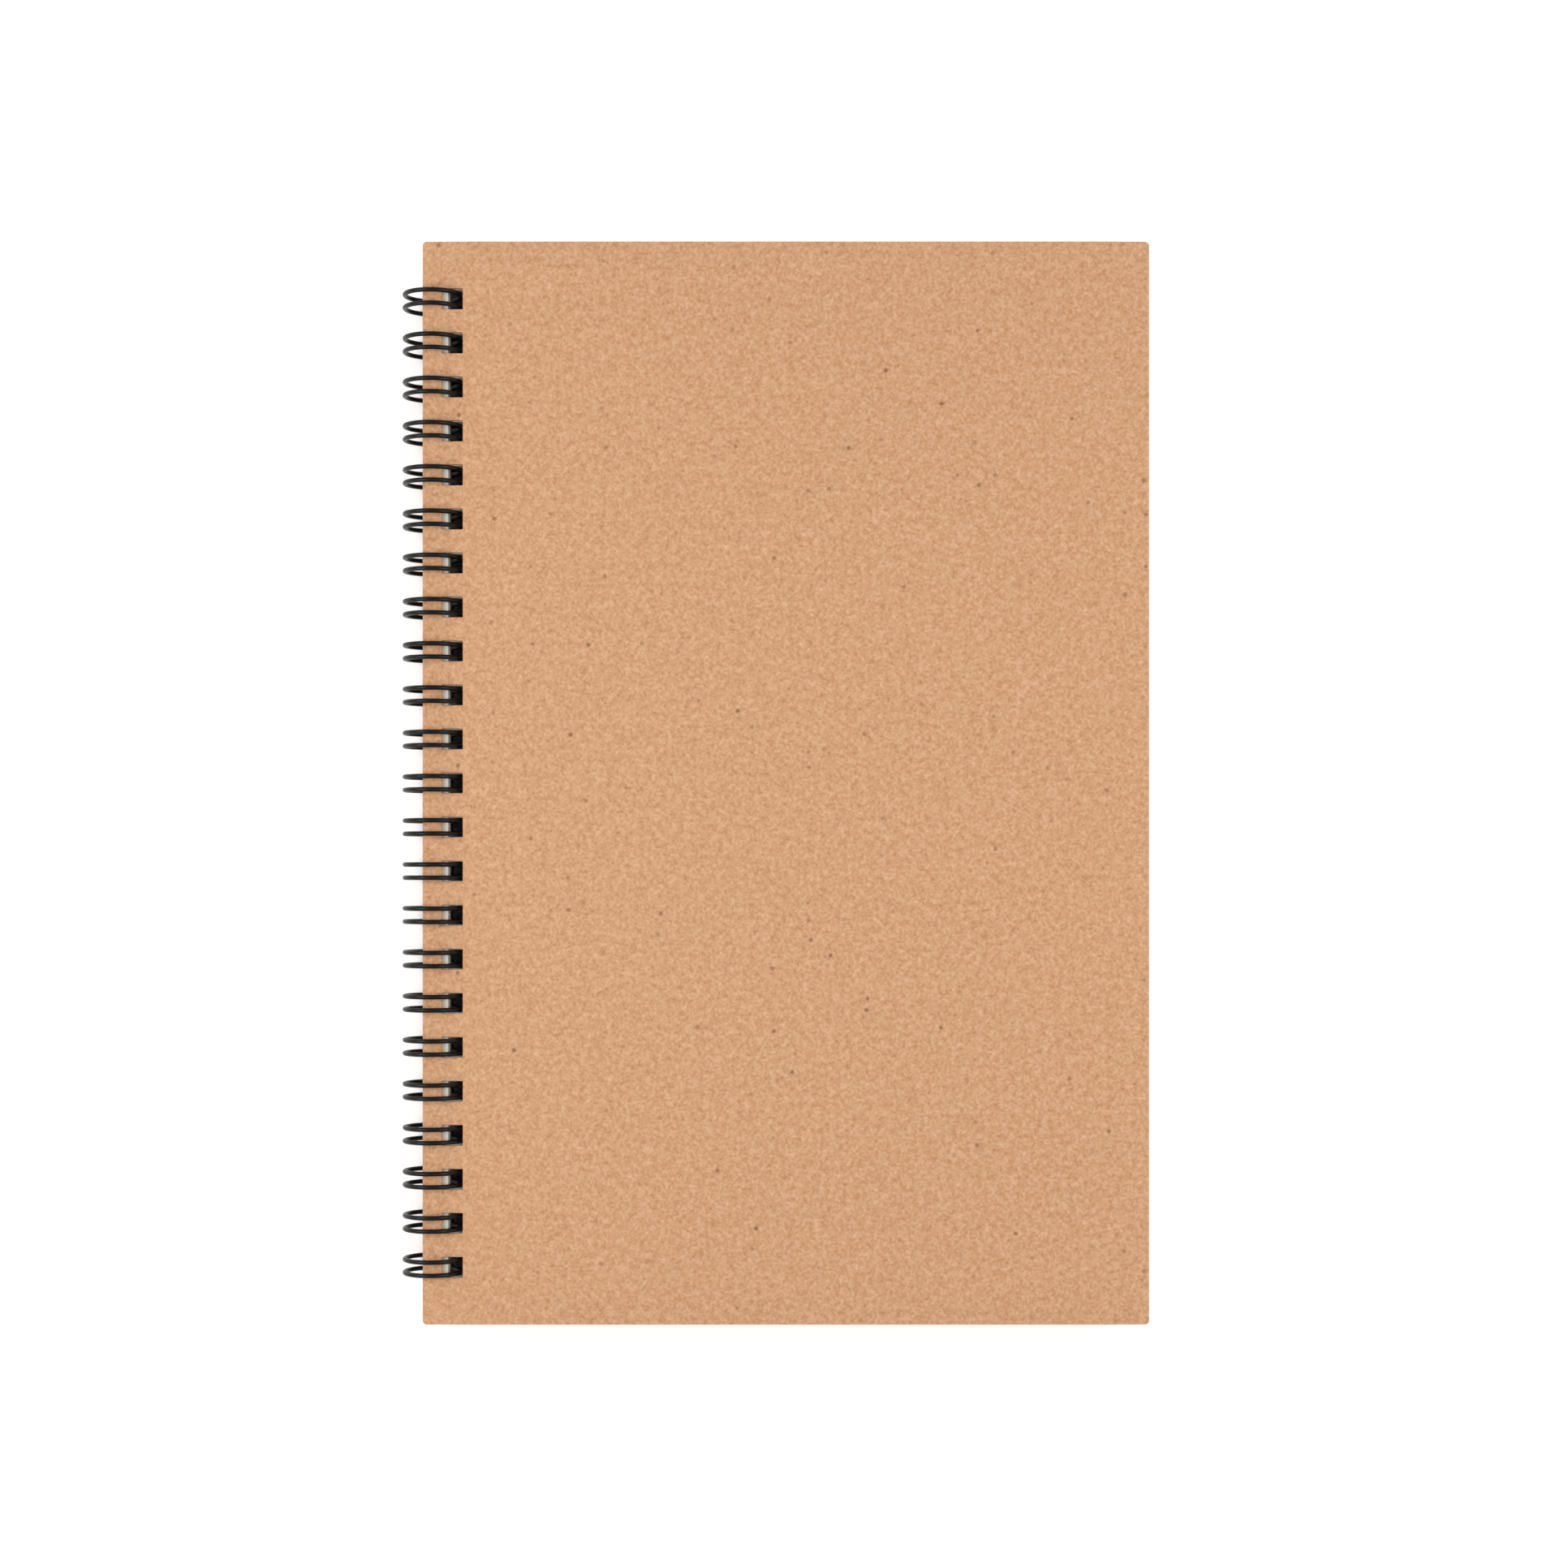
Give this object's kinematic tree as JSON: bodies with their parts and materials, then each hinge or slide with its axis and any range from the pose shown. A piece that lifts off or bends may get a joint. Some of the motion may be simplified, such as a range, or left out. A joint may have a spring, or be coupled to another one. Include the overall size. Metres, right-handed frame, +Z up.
{
  "type": "sketchbook",
  "caption": "Portrait sketchbook with plain kraft board covers and loose white sheets, held along the left edge by a black twin-loop wire and opening flat.",
  "frame": {"origin": "under the middle of the whole closed book, on the surface that it lies on", "axes": "+X from the wire-bound spine towards the fore edge, +Y towards the head of the page, +Z up out of the front cover"},
  "size_m": [0.144, 0.2082, 0.0118],
  "materials": {
    "kraft_board": "matte",
    "drawing_paper": "matte",
    "black_wire": "gloss"
  },
  "bodies": {
    "back": {"back_cover": "kraft_board"},
    "ring": {"wire_binding": "black_wire"},
    "front": {"front_cover": "kraft_board"},
    "leaves_01_04": {"sheet_01": "drawing_paper", "sheet_02": "drawing_paper", "sheet_03": "drawing_paper", "sheet_04": "drawing_paper"},
    "leaves_05_08": {"sheet_05": "drawing_paper", "sheet_06": "drawing_paper", "sheet_07": "drawing_paper", "sheet_08": "drawing_paper"},
    "leaves_09_12": {"sheet_09": "drawing_paper", "sheet_10": "drawing_paper", "sheet_11": "drawing_paper", "sheet_12": "drawing_paper"},
    "leaves_13_16": {"sheet_13": "drawing_paper", "sheet_14": "drawing_paper", "sheet_15": "drawing_paper", "sheet_16": "drawing_paper"},
    "leaves_17_20": {"sheet_17": "drawing_paper", "sheet_18": "drawing_paper", "sheet_19": "drawing_paper", "sheet_20": "drawing_paper"},
    "leaves_21_24": {"sheet_21": "drawing_paper", "sheet_22": "drawing_paper", "sheet_23": "drawing_paper", "sheet_24": "drawing_paper"},
    "leaves_25_28": {"sheet_25": "drawing_paper", "sheet_26": "drawing_paper", "sheet_27": "drawing_paper", "sheet_28": "drawing_paper"},
    "leaves_29_32": {"sheet_29": "drawing_paper", "sheet_30": "drawing_paper", "sheet_31": "drawing_paper", "sheet_32": "drawing_paper"}
  },
  "joints": [
    {"name": "front_cover_hinge", "type": "hinge", "parent": "ring", "child": "front", "pos_m": [-0.06688, 0, 0.0059], "axis": [0, -1, 0], "range_deg": [0, 180]},
    {"name": "wire_slide", "type": "slide", "parent": "back", "child": "ring", "axis": [-1, 0, 0], "range_m": [0, 0.0018]},
    {"name": "leaves_01_04_hinge", "type": "hinge", "parent": "ring", "child": "leaves_01_04", "pos_m": [-0.06607, 0, 0.0059], "axis": [0, -1, 0], "range_deg": [0, 178.2]},
    {"name": "leaves_05_08_hinge", "type": "hinge", "parent": "ring", "child": "leaves_05_08", "pos_m": [-0.06607, 0, 0.0059], "axis": [0, -1, 0], "range_deg": [0, 175.5]},
    {"name": "leaves_09_12_hinge", "type": "hinge", "parent": "ring", "child": "leaves_09_12", "pos_m": [-0.06607, 0, 0.0059], "axis": [0, -1, 0], "range_deg": [0, 172.8]},
    {"name": "leaves_13_16_hinge", "type": "hinge", "parent": "ring", "child": "leaves_13_16", "pos_m": [-0.06607, 0, 0.0059], "axis": [0, -1, 0], "range_deg": [0, 169.2]},
    {"name": "leaves_17_20_hinge", "type": "hinge", "parent": "ring", "child": "leaves_17_20", "pos_m": [-0.06607, 0, 0.0059], "axis": [0, -1, 0], "range_deg": [0, 10.8]},
    {"name": "leaves_21_24_hinge", "type": "hinge", "parent": "ring", "child": "leaves_21_24", "pos_m": [-0.06607, 0, 0.0059], "axis": [0, -1, 0], "range_deg": [0, 7.2]},
    {"name": "leaves_25_28_hinge", "type": "hinge", "parent": "ring", "child": "leaves_25_28", "pos_m": [-0.06607, 0, 0.0059], "axis": [0, -1, 0], "range_deg": [0, 4.5]},
    {"name": "leaves_29_32_hinge", "type": "hinge", "parent": "ring", "child": "leaves_29_32", "pos_m": [-0.06607, 0, 0.0059], "axis": [0, -1, 0], "range_deg": [0, 1.8]}
  ],
  "couplings": [
    {"joint": "wire_slide", "follows": "front_cover_hinge", "m_per_rad": 0.00057296},
    {"joint": "leaves_01_04_hinge", "follows": "front_cover_hinge", "ratio": 0.99},
    {"joint": "leaves_05_08_hinge", "follows": "front_cover_hinge", "ratio": 0.975},
    {"joint": "leaves_09_12_hinge", "follows": "front_cover_hinge", "ratio": 0.96},
    {"joint": "leaves_13_16_hinge", "follows": "front_cover_hinge", "ratio": 0.94},
    {"joint": "leaves_17_20_hinge", "follows": "front_cover_hinge", "ratio": 0.06},
    {"joint": "leaves_21_24_hinge", "follows": "front_cover_hinge", "ratio": 0.04},
    {"joint": "leaves_25_28_hinge", "follows": "front_cover_hinge", "ratio": 0.025},
    {"joint": "leaves_29_32_hinge", "follows": "front_cover_hinge", "ratio": 0.01}
  ]
}
